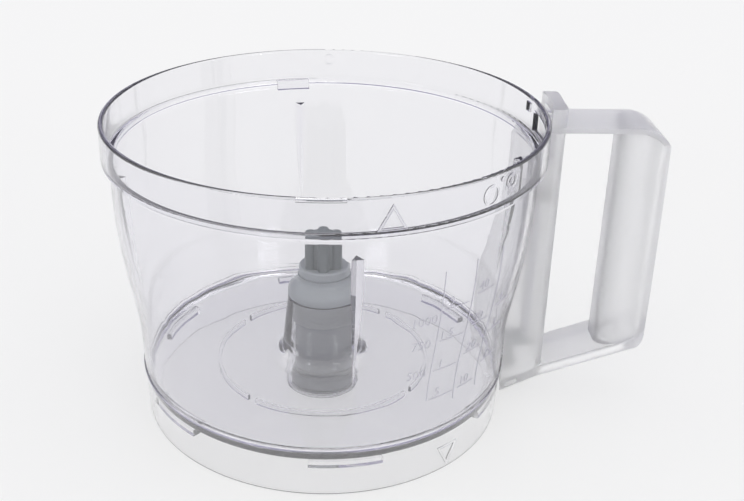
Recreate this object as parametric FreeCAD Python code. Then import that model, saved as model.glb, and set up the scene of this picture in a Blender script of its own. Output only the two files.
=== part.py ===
import FreeCAD, Part
import math
import os

from FreeCAD import Placement, Rotation, Vector

# Mixing bowl of a food processor, with its lift-out drive shaft and its lid interlock.
# Millimetres. Origin on the bowl's axis, at the level of the foot ring. +Z up, +X to the handle.

# ---- driving dimensions: bowl ----
BOWL_H = 131.0          # foot to rim
WALL = 2.2              # wall of the bowl, its foot ring and the handle column
COLLAR_R = 90.0         # outside of the straight collar that takes the lid
COLLAR_Z = 115.8        # lower edge of the collar
NECK_R = 86.8           # outside of the wall under the collar
NECK_Z = 105.0          # where the wall starts to draw in
HEEL_R = 79.0           # outside of the wall where it is upright again
HEEL_Z = 34.0
SEAM_R = 78.5           # outside at the seam with the foot ring
SEAM_Z = 20.0
FOOT_R = 77.7           # outside of the foot ring at the ground
SPIGOT_R = 76.2         # bowl edge that plugs into the foot ring
FLOOR_Z = 19.0          # inside floor
FLOOR_T = 2.3
LEDGE_Z = 117.2         # shelf that the lid rests on
GAP = 0.1               # glue or weld gap between fixed parts

# ---- driving dimensions: hub and drive ----
HUB_BORE_R = 14.0
HUB_TOP_Z = 47.5
HUB_LOW_Z = 3.0
HUB_TOP_R = 15.3
HUB_MID_R = 17.5
HUB_MID_Z = 26.0
HUB_FLARE_R = 24.7
HUB_STEM_R = 16.2       # hub below the floor
RUN = 0.05              # running clearance of a shaft in its bush
CORE_R = 4.0
SLEEVE_R = 12.9
COUPLING_R = 13.2
BELL_R = 15.3
BELL_LOW_Z = 47.9
BELL_TOP_Z = 57.2
HEAD_LOW_Z = 61.8
HEAD_TOP_Z = 75.6
HEAD_LOBES = 6
SOCKET_R = 5.0          # bore that takes the motor's shaft
SOCKET_LOW_Z = 6.5
SOCKET_LEN = 20.0

# ---- driving dimensions: handle ----
HANDLE_W = 24.0
PLATE_T = 2.1
TOP_Z = 127.8           # upper face of the top bar
GRIP_IN_X = 118.5
GRIP_TOP_X = 138.0
BEND_X = 124.0           # the top bar starts to bend down
BEND_R = 16.0
GRIP_LOW_X = 140.0
GRIP_WALL = 2.6
BAR_X = 91.7            # a point on the underside of the bottom bar
BAR_Z = 12.2
BAR_SLOPE = 0.36        # rise of the bottom bar per mm outwards
BAR_DEPTH = 5.1
COLUMN_X = 95.8         # outermost face of the hollow column on the bowl's side
COLUMN_NEAR_Y = -12.2   # its flat side
COLUMN_FAR_Y = 30.0     # its flared side, where it runs out on the bowl
COLUMN_CORNER_R = 4.0
COLUMN_FLARE_R = 21.2   # the flared side starts at FLARE_Y
FLARE_Y = 8.0
COLUMN_FLOOR_T = 3.4
COLUMN_TOP_Z = 115.4
NECK_W = 24.6           # narrow top of the column, beside the collar

# ---- driving dimensions: lid interlock ----
ROD_X = 87.5            # inner face of the pushrod
ROD_T = 2.5
ROD_W = 8.0
ROD_LOW_Z = 28.5
HEAD_X = 90.6           # inner face of the pushrod's head
STEM_X = 83.0
STEM_R = 1.7
FLANGE_Z = 13.4         # top of the foot guide, under the spring
SPRING_TOP_Z = 24.0
SPRING_R = 2.35
SPRING_WIRE = 0.3
SPRING_TURNS = 6

ORIGIN = Vector(0, 0, 0)
UP = Vector(0, 0, 1)


def line(a, b):
    """Straight edge between two (r, z) points."""
    return Part.LineSegment(Vector(a[0], 0, a[1]), Vector(b[0], 0, b[1])).toShape()


def arc(a, mid, b):
    """Circular edge through three (r, z) points."""
    return Part.Arc(*[Vector(p[0], 0, p[1]) for p in (a, mid, b)]).toShape()


def curve(*poles):
    """Bezier edge with these (r, z) poles."""
    bezier = Part.BezierCurve()
    bezier.setPoles([Vector(r, 0, z) for r, z in poles])
    return bezier.toShape()


def chain(*points):
    """Straight edges through a list of (r, z) points."""
    return [line(a, b) for a, b in zip(points, points[1:])]


def turned(edges, degrees=360.0, start=0.0):
    """Solid of revolution about Z of a closed outline in the XZ plane."""
    face = Part.Face(Part.Wire(edges))
    solid = face.revolve(ORIGIN, UP, degrees)
    solid.rotate(ORIGIN, UP, start)
    return solid


def ring(r_in, r_out, z_low, z_high):
    return turned(chain((r_in, z_low), (r_out, z_low), (r_out, z_high), (r_in, z_high), (r_in, z_low)))


def disc(r, z_low, z_high, x=0.0, y=0.0):
    return Part.makeCylinder(r, z_high - z_low, Vector(x, y, z_low), UP)


def sector(r_in, r_out, z_low, z_high, middle, width):
    """Part of a ring, centred on an azimuth in degrees."""
    edges = chain((r_in, z_low), (r_out, z_low), (r_out, z_high), (r_in, z_high), (r_in, z_low))
    return turned(edges, width, middle - width / 2)


def block(x_low, x_high, width, z_low, z_high, y=0.0):
    """Box centred on y."""
    return Part.makeBox(x_high - x_low, width, z_high - z_low, Vector(x_low, y - width / 2, z_low))


def at(radius, azimuth, z):
    angle = math.radians(azimuth)
    return Vector(radius * math.cos(angle), radius * math.sin(angle), z)


def save(name, shape):
    solids = shape.Solids
    shape = solids[0] if len(solids) == 1 else shape
    shape.exportStep("parts/" + name + ".step")
    print(name, len(solids), round(shape.Volume / 1000, 2), "cm3", shape.isValid())


# ---- bowl ----

def wall_curve(shift):
    """Side wall from the neck down to the heel, moved inwards by shift."""
    top, low = NECK_R - shift, HEEL_R - shift
    return [(top, NECK_Z), (top, 72.0), (low, 54.0), (low, HEEL_Z)]


def bowl_outside(gap):
    """Filled outline of the bowl and its foot, grown outwards by gap."""
    neck, collar = NECK_R + gap, COLLAR_R + gap
    edges = chain((0, BOWL_H), (collar, BOWL_H), (collar, COLLAR_Z - gap), (NECK_R + 2.0, COLLAR_Z - gap),
                  (neck, COLLAR_Z - 3.2), (neck, NECK_Z))
    edges.append(curve(*wall_curve(-gap)))
    edges += chain((HEEL_R + gap, HEEL_Z), (SEAM_R + 0.6 + gap, SEAM_Z), (SEAM_R + gap, -5), (0, -5), (0, BOWL_H))
    return turned(edges)


def bowl_revolve():
    rim_in, rim_mid = COLLAR_R - WALL, COLLAR_R - WALL / 2
    inner_neck, inner_heel = NECK_R - WALL, HEEL_R - WALL
    under = FLOOR_Z - FLOOR_T
    edges = [arc((rim_in, BOWL_H - 0.9), (rim_mid, BOWL_H), (COLLAR_R, BOWL_H - 0.9))]
    edges += chain((COLLAR_R, BOWL_H - 0.9), (COLLAR_R, COLLAR_Z + 0.6), (COLLAR_R - 0.6, COLLAR_Z),
                   (NECK_R + 1.8, COLLAR_Z))
    edges.append(arc((NECK_R + 1.8, COLLAR_Z), (NECK_R + 0.486, COLLAR_Z - 1.249), (NECK_R, COLLAR_Z - 3.0)))
    edges.append(line((NECK_R, COLLAR_Z - 3.0), (NECK_R, NECK_Z)))
    edges.append(curve(*wall_curve(0)))
    edges.append(line((HEEL_R, HEEL_Z), (SEAM_R, SEAM_Z + 1.6)))
    edges.append(arc((SEAM_R, SEAM_Z + 1.6), (SEAM_R + 0.5, SEAM_Z + 0.9), (SEAM_R, SEAM_Z + 0.2)))
    edges += chain((SEAM_R, SEAM_Z + 0.2), (SEAM_R - 0.2, SEAM_Z), (SPIGOT_R, SEAM_Z), (SPIGOT_R, under),
                   (46.5, under), (46.5, under - 2.3), (45.3, under - 2.3), (45.3, under), (22.5, under))
    edges.append(curve((22.5, under), (18.6, under), (HUB_STEM_R + 0.7, 19.2), (HUB_STEM_R + 0.3, 23.2)))
    edges += chain((HUB_STEM_R + 0.3, 23.2), (HUB_STEM_R, 22.8), (HUB_STEM_R, HUB_LOW_Z), (HUB_BORE_R, HUB_LOW_Z),
                   (HUB_BORE_R, 3.4), (HUB_BORE_R + 0.7, 3.4), (HUB_BORE_R + 0.7, 4.5), (HUB_BORE_R, 4.5),
                   (HUB_BORE_R, HUB_TOP_Z - 0.5))
    edges.append(arc((HUB_BORE_R, HUB_TOP_Z - 0.5), ((HUB_BORE_R + HUB_TOP_R) / 2, HUB_TOP_Z),
                     (HUB_TOP_R, HUB_TOP_Z - 0.5)))
    edges.append(line((HUB_TOP_R, HUB_TOP_Z - 0.5), (HUB_MID_R, HUB_MID_Z)))
    edges.append(curve((HUB_MID_R, HUB_MID_Z), (HUB_MID_R + 0.7, 21.0), (20.5, FLOOR_Z), (HUB_FLARE_R, FLOOR_Z)))
    edges.append(line((HUB_FLARE_R, FLOOR_Z), (inner_heel - 6, FLOOR_Z)))
    edges.append(curve((inner_heel - 6, FLOOR_Z), (inner_heel - 2, FLOOR_Z), (inner_heel - 0.4, FLOOR_Z + 1.5),
                       (inner_heel - 0.3, FLOOR_Z + 5.5)))
    edges.append(line((inner_heel - 0.3, FLOOR_Z + 5.5), (inner_heel, HEEL_Z)))
    edges.append(curve(*reversed(wall_curve(WALL))))
    edges.append(line((inner_neck, NECK_Z), (inner_neck, LEDGE_Z - 1.4)))
    edges.append(arc((inner_neck, LEDGE_Z - 1.4), (inner_neck + 0.41, LEDGE_Z - 0.41), (inner_neck + 1.4, LEDGE_Z)))
    edges.append(line((inner_neck + 1.4, LEDGE_Z), (rim_in - 0.6, LEDGE_Z)))
    edges.append(arc((rim_in - 0.6, LEDGE_Z), (rim_in - 0.176, LEDGE_Z + 0.176), (rim_in, LEDGE_Z + 0.6)))
    edges.append(line((rim_in, LEDGE_Z + 0.6), (rim_in, BOWL_H - 0.9)))
    return turned(edges)


def wall_rib(azimuth):
    """Tapering ridge inside the wall that stirs the food back to the middle."""
    top, low, half = 106.0, 52.0, 2.0
    a, b = at(86.0, azimuth - half, top), at(86.0, azimuth + half, top)
    ridge, tip, root = at(80.8, azimuth, top), at(78.4, azimuth, low), at(80.4, azimuth, low)
    triangles = [(a, b, ridge), (a, ridge, tip), (a, tip, root), (b, tip, ridge), (b, root, tip), (a, root, b)]
    faces = [Part.Face(Part.makePolygon([p, q, r, p])) for p, q, r in triangles]
    solid = Part.Solid(Part.Shell(faces))
    if solid.Volume < 0:
        solid.reverse()
    return solid


def relief(outline, radius, raised=0.4):
    """Raised mark on a round wall: the part of a radial prism that lies just at the surface."""
    return outline.common(ring(radius - 0.4, radius + raised, -1, BOWL_H + 1))


def round_mark(radius, azimuth, z, r_out, r_in, raised=0.4):
    outward = at(1, azimuth, 0)
    base = at(radius - 6, azimuth, z)
    tube = Part.makeCylinder(r_out, 10, base, outward)
    if r_in > 0:
        tube = tube.cut(Part.makeCylinder(r_in, 10, base, outward))
    return relief(tube, radius, raised)


def triangle_mark(radius, azimuth, z_base, z_tip, half_width, stroke=0.9):
    """Outlined triangle, seen square on from outside, with its point at z_tip."""
    outward = at(1, azimuth, 0)
    along = at(1, azimuth + 90, 0)
    base = at(radius - 4, azimuth, 0)
    step = math.copysign(1, z_tip - z_base)
    slant = math.hypot(half_width, z_tip - z_base)
    inset = stroke * (half_width + slant) / abs(z_tip - z_base)

    def prism(half, low, tip):
        points = [base + along * -half + UP * low, base + along * half + UP * low, base + UP * tip]
        return Part.Face(Part.makePolygon(points + points[:1])).extrude(outward * 8)

    hole = prism(half_width - inset, z_base + step * stroke, z_tip - step * stroke * slant / half_width)
    return relief(prism(half_width, z_base, z_tip).cut(hole), radius)


def lid_lug(azimuth):
    """Lug under the collar. The lid's hook turns in under it."""
    lug = block(NECK_R - 1.1, COLLAR_R - 0.6, 15.4, COLLAR_Z - 3.5, COLLAR_Z + 0.7)
    lug.rotate(ORIGIN, UP, azimuth)
    return lug


def lid_window():
    """Opening in the collar beside the handle, where the lid's finger reaches the pushrod."""
    window = block(80, 92, 26, LEDGE_Z + 0.8, 126.8)
    slit = block(80, 92, 3.4, 124.3, 128.4, y=19.5)
    return window.fuse(slit)


def bowl_shell():
    bowl = bowl_revolve()
    marks = [wall_rib(azimuth) for azimuth in (-82, 8, 98, 188)]
    marks.append(lid_lug(100))
    marks.append(round_mark(COLLAR_R, -49.8, 123.6, 3.9, 3.2))
    marks.append(round_mark(COLLAR_R, -43.0, 126.2, 2.8, 2.0))
    marks.append(round_mark(COLLAR_R, -43.0, 126.2, 1.1, 0.0))
    marks.append(round_mark(COLLAR_R, -46.2, 128.2, 1.0, 0.0))
    marks.append(round_mark(COLLAR_R, 88.7, 125.8, 2.6, 1.9))
    marks.append(triangle_mark(COLLAR_R, -75.2, 118.6, 128.2, 5.4))
    for mark in marks:
        bowl = bowl.fuse(mark)
    for azimuth in range(51, 411, 90):
        bowl = bowl.cut(sector(45.0, 47.0, FLOOR_Z - FLOOR_T - 3, FLOOR_Z - FLOOR_T, azimuth, 5))
    bowl = bowl.cut(lid_window())
    bowl = bowl.cut(sector(COLLAR_R - WALL - 0.5, COLLAR_R - WALL + 0.5, 129.0, 129.7, -90.5, 11))
    return bowl


def base_ring():
    """Foot ring under the bowl, with the bayonet lugs that lock it on the motor base."""
    top = SEAM_Z - GAP
    shelf = FLOOR_Z - FLOOR_T - GAP
    inner = SPIGOT_R + GAP
    foot_in = FOOT_R - WALL
    edges = chain((FOOT_R - 0.5, 0), (FOOT_R, 0.5), (SEAM_R - 0.2, top), (inner, top), (inner, shelf),
                  (inner - 0.4, shelf), (foot_in, 0.5), (foot_in + 0.5, 0), (FOOT_R - 0.5, 0))
    foot = turned(edges)
    for azimuth in range(-143, 217, 60):
        foot = foot.fuse(sector(72.4, FOOT_R - 0.8, 12.2, 15.2, azimuth, 22))
    return foot.fuse(triangle_mark(SEAM_R - 0.45, -50.4, 12.0, 2.4, 5.3))


# ---- handle ----

def bar_z(x):
    """Height of the underside of the bottom bar."""
    return BAR_Z + BAR_SLOPE * (x - BAR_X)


def above_bar(rise):
    """Everything above the bottom bar's underside, lifted by rise."""
    low, high = 55.0, 150.0
    edges = chain((low, bar_z(low) + rise), (high, bar_z(high) + rise), (high, 150), (low, 150),
                  (low, bar_z(low) + rise))
    return Part.Face(Part.Wire(edges)).extrude(Vector(0, 120, 0)).translated(Vector(0, -60, 0))


def column_prism(inset, z_low, z_high):
    """Plan outline of the handle column, moved inwards by inset, as an upright prism."""
    corner, flare = COLUMN_CORNER_R, COLUMN_FLARE_R
    out, near = COLUMN_X, COLUMN_NEAR_Y
    diag = corner * (1 - math.sqrt(0.5))

    def flank(degrees):
        turn = math.radians(degrees)
        return (out - flare + flare * math.cos(turn), FLARE_Y + flare * math.sin(turn))

    edges = [line((55.0, near - 7.3), (out - corner, near))]
    edges.append(arc((out - corner, near), (out - diag, near + diag), (out, near + corner)))
    edges.append(line((out, near + corner), flank(0)))
    edges.append(arc(flank(0), flank(38), flank(76)))
    edges += chain(flank(76), (55.0, COLUMN_FAR_Y + 4.0), (55.0, near - 7.3))
    wire = Part.Wire(edges)
    wire.rotate(ORIGIN, Vector(1, 0, 0), -90)
    face = Part.Face(wire)
    if inset:
        face = face.makeOffset2D(-inset)
    prism = face.extrude(UP * (z_high - z_low))
    prism.translate(UP * z_low)
    return prism


def loop_outline(inset, width):
    """Filled side view of the handle, from the bowl to the outside of the grip."""
    bend, low_bend = BEND_R - inset, 6.5 - inset
    top, side, low = TOP_Z - inset, GRIP_TOP_X - inset, GRIP_LOW_X - inset
    bend_z = TOP_Z - BEND_R
    turn = math.acos((side - BEND_X) / bend)
    middle = (turn + math.pi / 2) / 2
    corner_x = low - low_bend
    corner_z = bar_z(corner_x) + inset
    side_z = bend_z + bend * math.sin(turn)
    edges = chain((COLLAR_R - 4, top), (BEND_X, top))
    edges.append(arc((BEND_X, top), (BEND_X + bend * math.cos(middle), bend_z + bend * math.sin(middle)),
                     (side, side_z)))
    edges.append(line((side, side_z), (low, corner_z + low_bend)))
    edges.append(arc((low, corner_z + low_bend), (corner_x + low_bend * 0.78, corner_z + low_bend * 0.42),
                     (corner_x, corner_z)))
    edges += chain((corner_x, corner_z), (COLLAR_R - 4, bar_z(COLLAR_R - 4) + inset), (COLLAR_R - 4, top))
    prism = Part.Face(Part.Wire(edges)).extrude(Vector(0, width, 0))
    return prism.translated(Vector(0, -width / 2, 0))


def rounded_prism(x_low, x_high, width, radius_low, radius_high):
    """Upright prism with rounded corners, one radius at each X end."""
    prism = block(x_low, x_high, width, -10, 150)
    for x, radius in ((x_low, radius_low), (x_high, radius_high)):
        if radius > 0:
            ends = [e for e in prism.Edges if abs(e.BoundBox.XMax - x) < 1e-6 and e.BoundBox.XLength < 1e-6
                    and e.BoundBox.YLength < 1e-6]
            prism = prism.makeFillet(radius, ends)
    return prism


def handle_envelope():
    return loop_outline(0, HANDLE_W).common(rounded_prism(80, GRIP_LOW_X, HANDLE_W, 0, 7.0))


def handle_top_bar():
    """Flat top bar that bends down over the end of the grip."""
    shell = handle_envelope().cut(loop_outline(PLATE_T, HANDLE_W + 4))
    shell = shell.common(block(80, 150, 40, 121, 140))
    shell = shell.cut(disc(COLLAR_R + GAP, 110, 140))
    return shell.cut(block(HEAD_X - 0.4, HEAD_X + 3.2, 14, 120, 130))


def handle_bottom_bar():
    """Sloping channel, open underneath, that carries the grip's lower end."""
    slab = handle_envelope().cut(above_bar(BAR_DEPTH))
    slab = slab.cut(column_prism(-GAP, -20, 140))
    channel = block(90, GRIP_LOW_X - 9, HANDLE_W - 2 * WALL, -10, 60).cut(above_bar(BAR_DEPTH - PLATE_T))
    return slab.cut(channel)


def grip_tube():
    """Hollow hand grip between the two bars."""
    outer = rounded_prism(GRIP_IN_X, GRIP_LOW_X, HANDLE_W, 9.0, 7.0)
    inner = rounded_prism(GRIP_IN_X + GRIP_WALL, GRIP_LOW_X - GRIP_WALL - 0.8, HANDLE_W - 2 * GRIP_WALL, 7.0, 5.0)
    tube = loop_outline(0, HANDLE_W).common(outer).common(above_bar(BAR_DEPTH + GAP))
    tube = tube.cut(inner)
    cap = loop_outline(0, HANDLE_W + 4).cut(loop_outline(PLATE_T + GAP, HANDLE_W + 6))
    return tube.cut(cap.common(block(80, 150, 40, 121 - GAP, 140)))


def handle_column():
    """Hollow column welded on the bowl's side. It hides the pushrod."""
    column = column_prism(0, -10, COLUMN_TOP_Z).common(above_bar(0))
    neck = column_prism(0, COLUMN_TOP_Z - 1, TOP_Z - PLATE_T - GAP)
    column = column.fuse(neck.common(block(70, 100, NECK_W, 100, 130)))
    cavity = column_prism(WALL, -10, COLUMN_TOP_Z - WALL).common(above_bar(COLUMN_FLOOR_T))
    throat = column_prism(WALL, COLUMN_TOP_Z - WALL - 1, 140)
    column = column.cut(cavity).cut(throat.common(block(60, 100, NECK_W - 2 * WALL, 100, 140)))
    column = column.cut(bowl_outside(GAP))
    column = column.cut(disc(3.05, -10, 30, x=STEM_X))
    column = column.cut(disc(4.05, FLANGE_Z - 1.05, 30, x=STEM_X))
    drain = block(79.8, 85.4, 8, 0, 20, y=-14.5).common(above_bar(1.0)).cut(above_bar(2.9))
    return column.cut(drain)


def latch_block():
    """Upright block behind the rim. The lid's finger locks in its notch."""
    body = rounded_prism(80, 95.7, HANDLE_W, 0, 2.5).common(block(80, 100, 30, TOP_Z + GAP, 135.4))
    body = body.cut(disc(COLLAR_R + 0.3, 120, 140))
    notch = block(80, HEAD_X + 2.4, 15, TOP_Z - 1, 132.2)
    return body.cut(notch)


# ---- lid interlock ----

def pushrod():
    """Flat rod that carries the lid's push down the column."""
    blade = block(ROD_X, ROD_X + ROD_T, ROD_W, ROD_LOW_Z, 112.0)
    return blade.fuse(block(ROD_X, HEAD_X + 2.6, ROD_W, 109.4, 112.0))


def pushrod_head():
    """Ramped cap that the lid's finger presses."""
    edges = chain((HEAD_X, 112.0), (HEAD_X + 2.6, 112.0), (HEAD_X + 2.6, 122.4), (HEAD_X + 1.2, 122.4),
                  (HEAD_X, 120.6), (HEAD_X, 112.0))
    return Part.Face(Part.Wire(edges)).extrude(Vector(0, ROD_W, 0)).translated(Vector(0, -ROD_W / 2, 0))


def interlock_foot():
    """Cross bar and round stem that reach down through the bottom of the column."""
    bar = block(STEM_X - 2.4, ROD_X + ROD_T, ROD_W, SPRING_TOP_Z, ROD_LOW_Z)
    return bar.fuse(disc(STEM_R, 9.6, SPRING_TOP_Z + 1, x=STEM_X))


def return_spring():
    """Coil round the stem, between the foot guide and the cross bar."""
    low, high = FLANGE_Z + SPRING_WIRE + 0.02, SPRING_TOP_Z - SPRING_WIRE - 0.02
    height = high - low
    helix = Part.makeHelix(height / SPRING_TURNS, height, SPRING_R)
    section = Part.Wire(Part.makeCircle(SPRING_WIRE, Vector(SPRING_R, 0, 0), Vector(0, 1, 0)))
    coil = Part.Wire(helix.Edges).makePipeShell([section], True, True)
    coil.translate(Vector(STEM_X, 0, low))
    return coil


def rod_guide():
    """Bracket across the column that keeps the rod upright."""
    plate = column_prism(WALL + GAP, 95.0, 98.0).common(block(80, 100, 19, 90, 100))
    plate = plate.cut(bowl_outside(GAP))
    return plate.cut(block(ROD_X - 0.3, ROD_X + ROD_T + 0.3, ROD_W + 0.6, 90, 100))


def foot_guide():
    """Flanged bush in the column's floor. The spring stands on its flange."""
    bush = disc(3.0, 9.4, FLANGE_Z - 1, x=STEM_X).fuse(disc(4.0, FLANGE_Z - 1, FLANGE_Z, x=STEM_X))
    bush = bush.cut(disc(STEM_R + RUN, 0, 20, x=STEM_X))
    return bush.cut(bowl_outside(GAP))


# ---- hub and drive ----

def hub_bush():
    return ring(SLEEVE_R + RUN, HUB_BORE_R - RUN, 38.0, 46.5)


def coupling_bush():
    return ring(COUPLING_R + RUN, HUB_BORE_R - RUN, 5.8, 12.0)


def thrust_washer():
    return ring(10.0, HUB_BORE_R - RUN, 4.55, 5.2)


def retaining_ring():
    """Split ring in the groove at the bottom of the hub."""
    clip = ring(12.4, HUB_BORE_R + 0.6, 3.45, 4.45)
    return clip.cut(block(0, 20, 4, 0, 10))


def hexagon(corner_r, z_low, z_high):
    corners = [at(corner_r, 60 * k, z_low) for k in range(7)]
    return Part.Face(Part.makePolygon(corners)).extrude(UP * (z_high - z_low))


def drive_coupling():
    """Ring at the foot of the hub. It takes the shaft's hexagon and turns with it."""
    edges = chain((7.0, 5.3), (12.8, 5.3), (COUPLING_R, 5.7), (COUPLING_R, 12.8), (12.8, 13.1), (7.0, 13.1),
                  (7.0, 5.3))
    return turned(edges).cut(hexagon(9.7, 0, 20))


def spindle_core():
    """Steel rod inside the shaft."""
    return disc(CORE_R, 29.0, HEAD_TOP_Z - 2)


def drive_socket():
    """Steel sleeve at the bottom of the shaft, for the motor's shaft."""
    top = SOCKET_LOW_Z + SOCKET_LEN
    return disc(6.0, SOCKET_LOW_Z, top + 2).cut(disc(SOCKET_R, 0, top))


def spindle_sleeve():
    """Grey sleeve that turns in the hub. Its hexagon plugs into the coupling."""
    low, top = 13.5, 51.1
    body = turned(chain((0, low), (SLEEVE_R - 0.5, low), (SLEEVE_R, low + 0.5), (SLEEVE_R, 49.0),
                        (SLEEVE_R - 0.8, 49.0), (SLEEVE_R - 0.8, 50.6), (SLEEVE_R, 50.6), (SLEEVE_R, top),
                        (0, top), (0, low)))
    body = body.fuse(hexagon(9.35, SOCKET_LOW_Z, low + 1))
    body = body.cut(disc(6.0 + RUN, 0, SOCKET_LOW_Z + SOCKET_LEN + 2))
    return body.cut(disc(CORE_R + RUN, 10, 60))


def spindle_seal():
    """Rubber ring in the sleeve's groove, under the bell."""
    return Part.makeTorus(SLEEVE_R - 0.13, 0.65, Vector(0, 0, 49.8), UP)


def spindle_bell():
    """Bell that covers the hub's top so that food can't get in."""
    low, top = BELL_LOW_Z, BELL_TOP_Z
    edges = [line((BELL_R, low + 0.3), (BELL_R, low + 0.9))]
    edges.append(curve((BELL_R, low + 0.9), (BELL_R, low + 5.4), (11.3, low + 5.0), (11.0, low + 7.9)))
    edges += chain((11.0, low + 7.9), (11.0, top), (CORE_R + RUN, top), (CORE_R + RUN, 51.2), (13.5, 51.2),
                   (13.5, low), (BELL_R - 0.3, low), (BELL_R, low + 0.3))
    return turned(edges)


def flange_ring():
    """Ring that the blade or disc holder rests on."""
    low = BELL_TOP_Z + 0.05
    edges = chain((CORE_R + RUN, low), (10.2, low), (10.5, low + 0.3), (10.5, 61.0), (9.9, HEAD_LOW_Z - 0.05),
                  (CORE_R + RUN, HEAD_LOW_Z - 0.05), (CORE_R + RUN, low))
    return turned(edges)


def drive_head():
    """Six-lobed head that drives the blades."""
    lobe_r, lobe_at = 2.35, 6.35
    height = HEAD_TOP_Z - HEAD_LOW_Z
    head = disc(6.3, HEAD_LOW_Z, HEAD_TOP_Z)
    for k in range(HEAD_LOBES):
        centre = at(lobe_at, 60 * k + 30, HEAD_LOW_Z)
        head = head.fuse(Part.makeCylinder(lobe_r, height, centre, UP))
    head = head.removeSplitter()
    rims = [e for e in head.Edges if abs(e.BoundBox.ZMin - HEAD_TOP_Z) < 1e-6]
    head = head.makeFillet(0.5, rims)
    return head.cut(disc(CORE_R + RUN, 0, HEAD_TOP_Z - 1.95))


os.makedirs("parts", exist_ok=True)

for make in (
    bowl_shell, base_ring, handle_column, handle_top_bar, handle_bottom_bar, grip_tube, latch_block,
    pushrod, pushrod_head, interlock_foot, return_spring, rod_guide, foot_guide,
    hub_bush, coupling_bush, thrust_washer, retaining_ring, drive_coupling,
    spindle_core, drive_socket, spindle_sleeve, spindle_seal, spindle_bell, flange_ring, drive_head,
):
    save(make.__name__, make())
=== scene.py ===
import math

import bpy
from mathutils import Euler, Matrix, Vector


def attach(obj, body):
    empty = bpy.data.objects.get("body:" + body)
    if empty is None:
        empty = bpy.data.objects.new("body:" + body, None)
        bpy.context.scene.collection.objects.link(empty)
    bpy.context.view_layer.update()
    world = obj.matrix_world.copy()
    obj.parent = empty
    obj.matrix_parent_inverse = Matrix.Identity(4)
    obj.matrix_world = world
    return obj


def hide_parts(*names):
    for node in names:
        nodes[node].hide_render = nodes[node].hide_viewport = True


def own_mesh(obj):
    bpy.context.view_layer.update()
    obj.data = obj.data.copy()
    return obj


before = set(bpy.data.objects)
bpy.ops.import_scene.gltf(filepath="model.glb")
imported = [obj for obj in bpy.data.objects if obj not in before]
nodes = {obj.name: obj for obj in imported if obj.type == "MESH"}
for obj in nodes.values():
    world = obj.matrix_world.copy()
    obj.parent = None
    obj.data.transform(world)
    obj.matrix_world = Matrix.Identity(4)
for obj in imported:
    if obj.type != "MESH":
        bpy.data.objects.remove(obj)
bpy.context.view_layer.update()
scene = bpy.context.scene
scene.view_settings.view_transform = "Standard"
MM = 0.001


# ---- camera ----

CAMERA_PLACE = (0.0, -0.4056, 0.2689)
CAMERA_DOWN = 25.31     # degrees below the horizon
CAMERA_TURN = 0.683     # degrees to the left of +Y
CAMERA_ROLL = 0.122     # degrees
SENSOR = 36.0           # mm
LENS = 51.16            # mm
SHIFT_X, SHIFT_Y = 0.0806, -0.0269


def add_camera():
    """The photograph's camera: in front of the bowl and above its rim."""
    data = bpy.data.cameras.new("camera")
    data.sensor_width = SENSOR
    data.lens = LENS
    data.shift_x = SHIFT_X
    data.shift_y = SHIFT_Y
    data.clip_start = 0.01
    camera = bpy.data.objects.new("camera", data)
    scene.collection.objects.link(camera)
    aim = Euler((math.radians(90 - CAMERA_DOWN), 0, math.radians(CAMERA_TURN))).to_matrix()
    roll = Euler((0, 0, math.radians(CAMERA_ROLL))).to_matrix()
    camera.matrix_world = (aim @ roll).to_4x4()
    camera.location = Vector(CAMERA_PLACE)
    scene.camera = camera


add_camera()


# ---- materials ----

VIOLET = (0.60, 0.575, 0.74)    # what thick clear plastic looks like
CLEAR_WHITE = (0.985, 0.985, 0.99)
STEEL_GREY = (0.62, 0.62, 0.63)
# scales of the noises, in cells per metre, and heights of the bumps, in metres
HAZE_SCALE = 60.0       # uneven gloss of clear plastic
FLOW_SCALE = 22.0       # slow waves that moulding leaves in clear plastic
FLOW_STRETCH = (1, 1, 0.35)
FLOW_HEIGHT = 0.0006
CLOUD_SCALE = 90.0      # faint clouds in the colour of solid plastic
GLOSS_SCALE = 140.0     # uneven gloss of solid plastic
GRAIN_SCALE = 1800.0
GRAIN_HEIGHT = 0.0001
STEEL_GLOSS_SCALE = 300.0
STEEL_LINE_SCALE = 900.0
STEEL_STRETCH = (1, 1, 0.05)    # the lines on steel run along Z
NOISE_LOW, NOISE_HIGH = 0.3, 0.7    # nearly all of a noise lies between these


def new_material(name):
    material = bpy.data.materials.new(name)
    material.use_nodes = True
    tree = material.node_tree
    shader = tree.nodes["Principled BSDF"]
    return material, tree, shader


def noise(tree, scale, detail=2.0, stretch=(1, 1, 1)):
    """Noise in object space, so that it stays on the piece."""
    where = tree.nodes.new("ShaderNodeTexCoord")
    mapping = tree.nodes.new("ShaderNodeMapping")
    mapping.inputs["Scale"].default_value = stretch
    texture = tree.nodes.new("ShaderNodeTexNoise")
    texture.inputs["Scale"].default_value = scale
    texture.inputs["Detail"].default_value = detail
    tree.links.new(where.outputs["Object"], mapping.inputs["Vector"])
    tree.links.new(mapping.outputs["Vector"], texture.inputs["Vector"])
    return texture.outputs["Fac"]


def spread(tree, value, low, high):
    """Maps the range of a noise to low..high."""
    node = tree.nodes.new("ShaderNodeMapRange")
    node.inputs["From Min"].default_value = NOISE_LOW
    node.inputs["From Max"].default_value = NOISE_HIGH
    node.inputs["To Min"].default_value = low
    node.inputs["To Max"].default_value = high
    tree.links.new(value, node.inputs["Value"])
    return node.outputs["Result"]


def bump(tree, shader, height, strength, distance):
    node = tree.nodes.new("ShaderNodeBump")
    node.inputs["Strength"].default_value = strength
    node.inputs["Distance"].default_value = distance
    tree.links.new(height, node.inputs["Height"])
    tree.links.new(node.outputs["Normal"], shader.inputs["Normal"])


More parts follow.
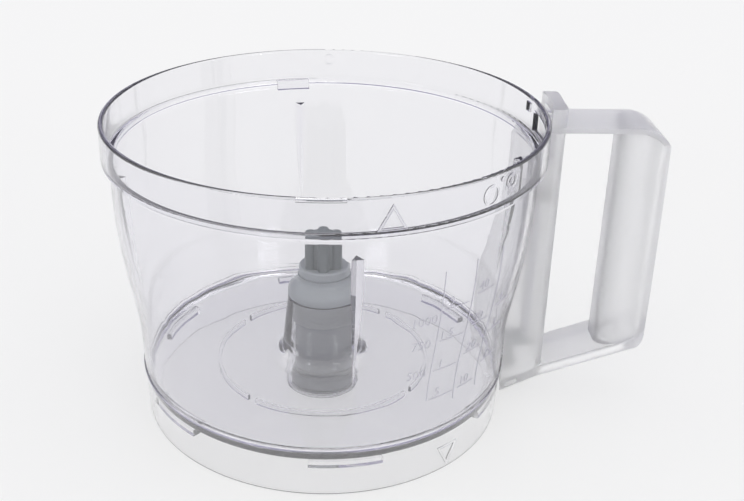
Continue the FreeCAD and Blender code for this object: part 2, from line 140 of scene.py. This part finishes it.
def clear_plastic(name, rough_low, rough_high, wave, density, clear, ior=1.5):
    """Clear moulded plastic: light is lost along its path in the wall, so edges look darker."""
    material, tree, shader = new_material(name)
    shader.inputs["Base Color"].default_value = (*CLEAR_WHITE, 1)
    shader.inputs["Transmission Weight"].default_value = clear
    shader.inputs["IOR"].default_value = ior
    rough = spread(tree, noise(tree, HAZE_SCALE), rough_low, rough_high)
    tree.links.new(rough, shader.inputs["Roughness"])
    bump(tree, shader, noise(tree, FLOW_SCALE, 1.0, FLOW_STRETCH), wave, FLOW_HEIGHT)
    absorb = tree.nodes.new("ShaderNodeVolumeAbsorption")
    absorb.inputs["Color"].default_value = (*VIOLET, 1)
    absorb.inputs["Density"].default_value = density
    tree.links.new(absorb.outputs["Volume"], tree.nodes["Material Output"].inputs["Volume"])
    return material


def solid_plastic(name, color, vary, rough_low, rough_high, grain):
    """Solid moulded plastic or rubber, with a fine grain."""
    material, tree, shader = new_material(name)
    mix = tree.nodes.new("ShaderNodeMix")
    mix.data_type = "RGBA"
    mix.inputs["A"].default_value = (*[c * (1 - vary) for c in color], 1)
    mix.inputs["B"].default_value = (*[c * (1 + vary) for c in color], 1)
    tree.links.new(noise(tree, CLOUD_SCALE, 3.0), mix.inputs["Factor"])
    tree.links.new(mix.outputs["Result"], shader.inputs["Base Color"])
    rough = spread(tree, noise(tree, GLOSS_SCALE), rough_low, rough_high)
    tree.links.new(rough, shader.inputs["Roughness"])
    bump(tree, shader, noise(tree, GRAIN_SCALE), grain, GRAIN_HEIGHT)
    return material


def steel(name, rough_low, rough_high, grain):
    """Turned or drawn steel."""
    material, tree, shader = new_material(name)
    shader.inputs["Metallic"].default_value = 1.0
    shader.inputs["Base Color"].default_value = (*STEEL_GREY, 1)
    gloss = noise(tree, STEEL_GLOSS_SCALE, stretch=STEEL_STRETCH)
    tree.links.new(spread(tree, gloss, rough_low, rough_high), shader.inputs["Roughness"])
    bump(tree, shader, noise(tree, STEEL_LINE_SCALE, stretch=STEEL_STRETCH), grain, GRAIN_HEIGHT)
    return material


# clear plastics: roughness from and to, waves, density, share of light let through, refraction
# solid plastics: colour, how far it varies, roughness from and to, grain
finish = {
    "clear": clear_plastic("clear_plastic", 0.0, 0.02, 0.06, 36.0, 0.97),
    "foot": clear_plastic("foot_plastic", 0.0, 0.02, 0.06, 8.0, 0.95),
    "frosted": clear_plastic("frosted_plastic", 0.3, 0.36, 0.05, 7.0, 0.8, 1.4),
    "hazy": clear_plastic("hazy_plastic", 0.32, 0.42, 0.08, 3.0, 0.78, 1.3),
    "grey": solid_plastic("grey_plastic", (0.295, 0.315, 0.34), 0.05, 0.2, 0.28, 0.08),
    # head: the same grey plastic as the sleeve and bell, with painted shade: its colour is darker to
    # stand for the shade between the lobes
    "head": solid_plastic("grey_plastic_painted_shade", (0.105, 0.12, 0.13), 0.05, 0.3, 0.42, 0.12),
    "rod": solid_plastic("rod_plastic", (0.56, 0.55, 0.61), 0.05, 0.35, 0.5, 0.12),
    "bearing": solid_plastic("bearing_plastic", (0.38, 0.395, 0.42), 0.04, 0.4, 0.55, 0.1),
    "steel": steel("steel", 0.22, 0.38, 0.15),
    "rubber": solid_plastic("seal_rubber", (0.05, 0.052, 0.055), 0.1, 0.6, 0.75, 0.3),
    "relief": solid_plastic("relief_plastic", (0.5, 0.49, 0.55), 0.1, 0.3, 0.4, 0.05),
}
finish_of = {
    "clear": ["bowl_shell"],
    "foot": ["base_ring"],
    "frosted": ["handle_top_bar", "handle_bottom_bar", "grip_tube", "latch_block"],
    "hazy": ["handle_column", "rod_guide", "foot_guide"],
    "grey": ["spindle_sleeve", "spindle_bell", "flange_ring", "drive_coupling", "interlock_foot"],
    "head": ["drive_head"],
    "rod": ["pushrod", "pushrod_head"],
    "bearing": ["hub_bush", "coupling_bush", "thrust_washer"],
    "steel": ["spindle_core", "drive_socket", "retaining_ring"],
    "rubber": ["spindle_seal"],
}
for key, names in finish_of.items():
    for name in names:
        mesh = nodes[name].data
        mesh.materials.clear()
        mesh.materials.append(finish[key])


# ---- pieces made here, in mm and degrees ----

SPRING_X, SPRING_LOW, SPRING_HIGH = 83.0, 13.4, 24.0    # the spring stands on the foot guide
SPRING_R, WIRE_R, TURNS = 2.35, 0.3, 6
END_SHARE = 0.12        # share of the wire in each closed end
END_RISE = 0.3          # how far the wire rises in a closed end

COLLAR_Z = 115.8        # lower edge of the collar
COLLAR_MARK_R = 90.4    # face of the marks raised on the collar
NECK_R, NECK_Z = 86.8, 105.0    # where the wall starts to draw in
HEEL_R, HEEL_Z = 79.0, 34.0     # where the wall is upright again
NECK_POLE_Z, HEEL_POLE_Z = 72.0, 54.0   # poles of the wall's curve, under the neck and over the heel

RELIEF_LOW, RELIEF_HIGH = 0.05, 0.3     # how far the marks' back and face stand out from the wall
LINE_W = 0.3
DIGIT_SIZE = 5.6        # a digit is about 0.7 of this high
STROKE_TRIM = 0.018     # share of a digit's size taken off the edges of its strokes
DIGIT_RISE = 1.0        # how far the digits stand above their tick
# columns of the scale: azimuth of the numbers, azimuth and width of the ticks,
# and each number with its height
SCALE = (
    (-64.5, -64.5, 0.0, (("1000", 74.5), ("750", 63.5), ("500", 49.5))),
    (-57.0, -55.0, 11.5, (("2", 80.3), ("1.5", 66.0), ("1", 51.7), (".5", 38.0))),
    (-46.2, -45.2, 9.5, (("40", 82.2), ("30", 68.0), ("20", 54.3), ("10", 38.0))),
    (-36.5, -35.2, 9.5, (("4", 70.9), ("3", 58.6), ("2", 44.0))),
)
# upright lines between the columns: azimuth, lower and upper end
SCALE_LINES = ((-60.0, 38.0, 97.0), (-50.2, 34.0, 98.0), (-40.2, 34.0, 98.0))
# double outline on the collar: heights of base and tip, half the base, width of the line
TRIANGLE_AZIMUTH = -75.2
TRIANGLES = ((118.6, 128.2, 5.4, 0.22), (119.3, 126.8, 4.15, 0.2))


def add_mesh(name, vertices, faces, key, body):
    mesh = bpy.data.meshes.new(name)
    mesh.from_pydata([Vector(v) * MM for v in vertices], [], faces)
    mesh.materials.append(finish[key])
    piece = bpy.data.objects.new(name, mesh)
    scene.collection.objects.link(piece)
    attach(piece, body)
    return piece


def part_way(value, start, end):
    """0 up to start, 1 from end on."""
    return min(max((value - start) / (end - start), 0.0), 1.0)


def add_spring():
    """Wire helix with closed ends, in place of the plain spring of the frame."""
    per_turn, sides = 28, 8
    rings = TURNS * per_turn
    low, high = SPRING_LOW + WIRE_R, SPRING_HIGH - WIRE_R
    vertices = []
    for i in range(rings + 1):
        turn = 2 * math.pi * i / per_turn
        share = i / rings
        z = low + END_RISE * part_way(share, 0.0, END_SHARE)
        z += (high - low - 2 * END_RISE) * part_way(share, END_SHARE, 1 - END_SHARE)
        z += END_RISE * part_way(share, 1 - END_SHARE, 1.0)
        for j in range(sides):
            side = 2 * math.pi * j / sides
            radius = SPRING_R + WIRE_R * math.cos(side)
            vertices.append((SPRING_X + radius * math.cos(turn), radius * math.sin(turn),
                             z + WIRE_R * math.sin(side)))
    faces = [tuple(reversed(range(sides))), tuple(range(rings * sides, (rings + 1) * sides))]
    for i in range(rings):
        for j in range(sides):
            a, b = i * sides + j, i * sides + (j + 1) % sides
            faces.append((a, b, b + sides, a + sides))
    spring = add_mesh("spring_wire", vertices, faces, "steel", "bowl")
    spring.data.polygons.foreach_set("use_smooth", [True] * len(spring.data.polygons))
    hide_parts("return_spring")
    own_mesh(spring)


def wall_radius(z):
    """Outside radius of the bowl at height z, from the heel up to the neck and on the collar."""
    if z > COLLAR_Z:
        return COLLAR_MARK_R
    low, high = 0.0, 1.0
    for _ in range(30):     # halves the stretch of the curve that z lies in
        t = (low + high) / 2
        height = (NECK_Z * (1 - t) ** 3 + 3 * NECK_POLE_Z * t * (1 - t) ** 2
                  + 3 * HEEL_POLE_Z * t * t * (1 - t) + HEEL_Z * t ** 3)
        low, high = (t, high) if height > z else (low, t)
    heel = 3 * t * t * (1 - t) + t ** 3
    return NECK_R * (1 - heel) + HEEL_R * heel


def on_wall(azimuth, z, raised):
    radius = wall_radius(z) + raised
    turn = math.radians(azimuth)
    return radius * math.cos(turn), radius * math.sin(turn), z


class Relief:
    """Vertices and faces of raised marks on the bowl's wall."""

    def __init__(self):
        self.vertices = []
        self.faces = []

    def wrap(self, points, faces, azimuth, z):
        """A flat figure, laid on the wall with its origin at (azimuth, z) and given thickness."""
        first, count = len(self.vertices), len(points)
        scale = math.degrees(1 / wall_radius(z))
        for raised in (RELIEF_LOW, RELIEF_HIGH):
            self.vertices += [on_wall(azimuth + x * scale, z + y, raised) for x, y in points]
        for face in faces:
            self.faces.append(tuple(first + count + i for i in face))
            self.faces.append(tuple(first + i for i in reversed(face)))
        edges = dict.fromkeys(edge for face in faces for edge in zip(face, face[1:] + face[:1]))
        for a, b in edges:
            if (b, a) not in edges:
                self.faces.append((first + a, first + b, first + count + b, first + count + a))

    def upright(self, azimuth, z_low, z_high):
        """Upright line, in short steps that follow the wall."""
        steps = 30
        points = [(x, i * (z_high - z_low) / steps)
                  for i in range(steps + 1) for x in (-LINE_W / 2, LINE_W / 2)]
        faces = [(2 * i, 2 * i + 1, 2 * i + 3, 2 * i + 2) for i in range(steps)]
        self.wrap(points, faces, azimuth, z_low)

    def tick(self, azimuth, z, width):
        """Level line, in short steps that follow the wall."""
        steps = 8
        points = [((i / steps - 0.5) * width, y) for i in range(steps + 1) for y in (0, LINE_W)]
        faces = [(2 * i, 2 * i + 2, 2 * i + 3, 2 * i + 1) for i in range(steps)]
        self.wrap(points, faces, azimuth, z)

    def triangle(self, azimuth, z_base, z_tip, half, width):
        """Thin line along a triangle that points up."""
        rise, steps = z_tip - z_base, 6
        slant = math.hypot(half, rise)
        inset = width * (half + slant) / rise
        outer = [(-half, 0), (half, 0), (0, rise)]
        inner = [(-half + inset, width), (half - inset, width), (0, rise - width * slant / half)]
        points = []
        for corners in (outer, inner):
            for (ax, ay), (bx, by) in zip(corners, corners[1:] + corners[:1]):
                points += [(ax + (bx - ax) * i / steps, ay + (by - ay) * i / steps)
                           for i in range(steps)]
        count = len(outer) * steps
        faces = [(i, (i + 1) % count, (i + 1) % count + count, i + count) for i in range(count)]
        self.wrap(points, faces, azimuth, z_base)

    def number(self, text, azimuth, z):
        """Digits centred on azimuth, standing on z."""
        curve = bpy.data.curves.new("digits", "FONT")
        curve.body = text
        curve.size = DIGIT_SIZE
        curve.align_x = "CENTER"
        curve.offset = -STROKE_TRIM * DIGIT_SIZE
        curve.resolution_u = 3
        holder = bpy.data.objects.new("digits", curve)
        scene.collection.objects.link(holder)
        shown = holder.evaluated_get(bpy.context.evaluated_depsgraph_get())
        flat = bpy.data.meshes.new_from_object(shown)
        points = [(v.co.x, v.co.y) for v in flat.vertices]
        faces = [tuple(p.vertices) if p.normal.z > 0 else tuple(reversed(p.vertices))
                 for p in flat.polygons]
        bpy.data.objects.remove(holder)
        bpy.data.meshes.remove(flat)
        self.wrap(points, faces, azimuth, z)


def add_marks():
    """The scale on the wall and the pointer on the collar, as one piece."""
    relief = Relief()
    for number_azimuth, tick_azimuth, width, rows in SCALE:
        for text, z in rows:
            relief.number(text, number_azimuth, z + DIGIT_RISE)
            if width:
                relief.tick(tick_azimuth, z, width)
    for line in SCALE_LINES:
        relief.upright(*line)
    for outline in TRIANGLES:
        relief.triangle(TRIANGLE_AZIMUTH, *outline)
    add_mesh("raised_marks", relief.vertices, relief.faces, "relief", "bowl")


add_spring()
add_marks()


# ---- floor and light ----

TENT = (1.0, 1.0, 1.0)
OPENING = (0.19, 0.175, 0.29)
SOFTBOX = (6.5, 6.5, 6.6)
TENT_STRENGTH = 1.15
# Edges of the lights, in the X, Y or Z of the direction from the bowl: where a light starts,
# and where it is whole.
OPENING_EDGES = (("Y", 0.25, 0.6), ("Z", 0.03, 0.12), ("Z", 0.85, 0.6))
SOFTBOX_EDGES = (("Z", 0.22, 0.25), ("Z", 0.42, 0.39), ("Y", -0.3, -0.45))
LEFT_EDGES = (("X", -0.68, -0.65), ("X", -0.46, -0.49))
RIGHT_EDGES = (("X", 0.46, 0.49), ("X", 0.68, 0.65))
FLOOR_HALF = 8.0        # metres, so that the floor's edge is out of sight
FLOOR_DROP = 0.0002     # metres that the floor lies under the bowl's foot
FLOOR_GREY = 0.28       # the floor is a light table: part of its brightness is its own
FLOOR_GLOW = 0.62
FLOOR_ROUGH = 0.9
FLOOR_SHINE = 0.1


def add_floor():
    mesh = bpy.data.meshes.new("floor")
    corners = [(x * FLOOR_HALF, y * FLOOR_HALF, 0) for x, y in ((-1, -1), (1, -1), (1, 1), (-1, 1))]
    mesh.from_pydata(corners, [], [(0, 1, 2, 3)])
    floor = bpy.data.objects.new("floor", mesh)
    scene.collection.objects.link(floor)
    floor.location.z = -FLOOR_DROP
    material, _, shader = new_material("floor")
    shader.inputs["Base Color"].default_value = (FLOOR_GREY, FLOOR_GREY, FLOOR_GREY, 1)
    shader.inputs["Emission Color"].default_value = (1, 1, 1, 1)
    shader.inputs["Emission Strength"].default_value = FLOOR_GLOW
    shader.inputs["Roughness"].default_value = FLOOR_ROUGH
    shader.inputs["Specular IOR Level"].default_value = FLOOR_SHINE
    mesh.materials.append(material)


def add_world():
    """Soft light tent with two softboxes in front, and a darker opening at the back."""
    world = bpy.data.worlds.new("world")
    scene.world = world
    world.use_nodes = True
    tree = world.node_tree
    where = tree.nodes.new("ShaderNodeTexCoord")
    split = tree.nodes.new("ShaderNodeSeparateXYZ")
    tree.links.new(where.outputs["Generated"], split.inputs["Vector"])

    def ramp(axis, start, whole):
        node = tree.nodes.new("ShaderNodeMapRange")
        node.interpolation_type = "SMOOTHSTEP"
        node.inputs["From Min"].default_value = start
        node.inputs["From Max"].default_value = whole
        tree.links.new(split.outputs[axis], node.inputs["Value"])
        return node.outputs["Result"]

    def product(a, b):
        node = tree.nodes.new("ShaderNodeMath")
        node.operation = "MULTIPLY"
        tree.links.new(a, node.inputs[0])
        tree.links.new(b, node.inputs[1])
        return node.outputs["Value"]

    def inside(edges):
        share = ramp(*edges[0])
        for edge in edges[1:]:
            share = product(share, ramp(*edge))
        return share

    def lit(below, share, color):
        """Light below, with color over the given share of it."""
        node = tree.nodes.new("ShaderNodeMix")
        node.data_type = "RGBA"
        tree.links.new(below, node.inputs["A"])
        node.inputs["B"].default_value = (*color, 1)
        tree.links.new(share, node.inputs["Factor"])
        return node.outputs["Result"]

    plain = tree.nodes.new("ShaderNodeRGB")
    plain.outputs["Color"].default_value = (*TENT, 1)
    light = lit(plain.outputs["Color"], inside(OPENING_EDGES), OPENING)
    band = inside(SOFTBOX_EDGES)
    for edges in (LEFT_EDGES, RIGHT_EDGES):
        light = lit(light, product(band, inside(edges)), SOFTBOX)
    background = tree.nodes["Background"]
    background.inputs["Strength"].default_value = TENT_STRENGTH
    tree.links.new(light, background.inputs["Color"])


add_floor()
add_world()
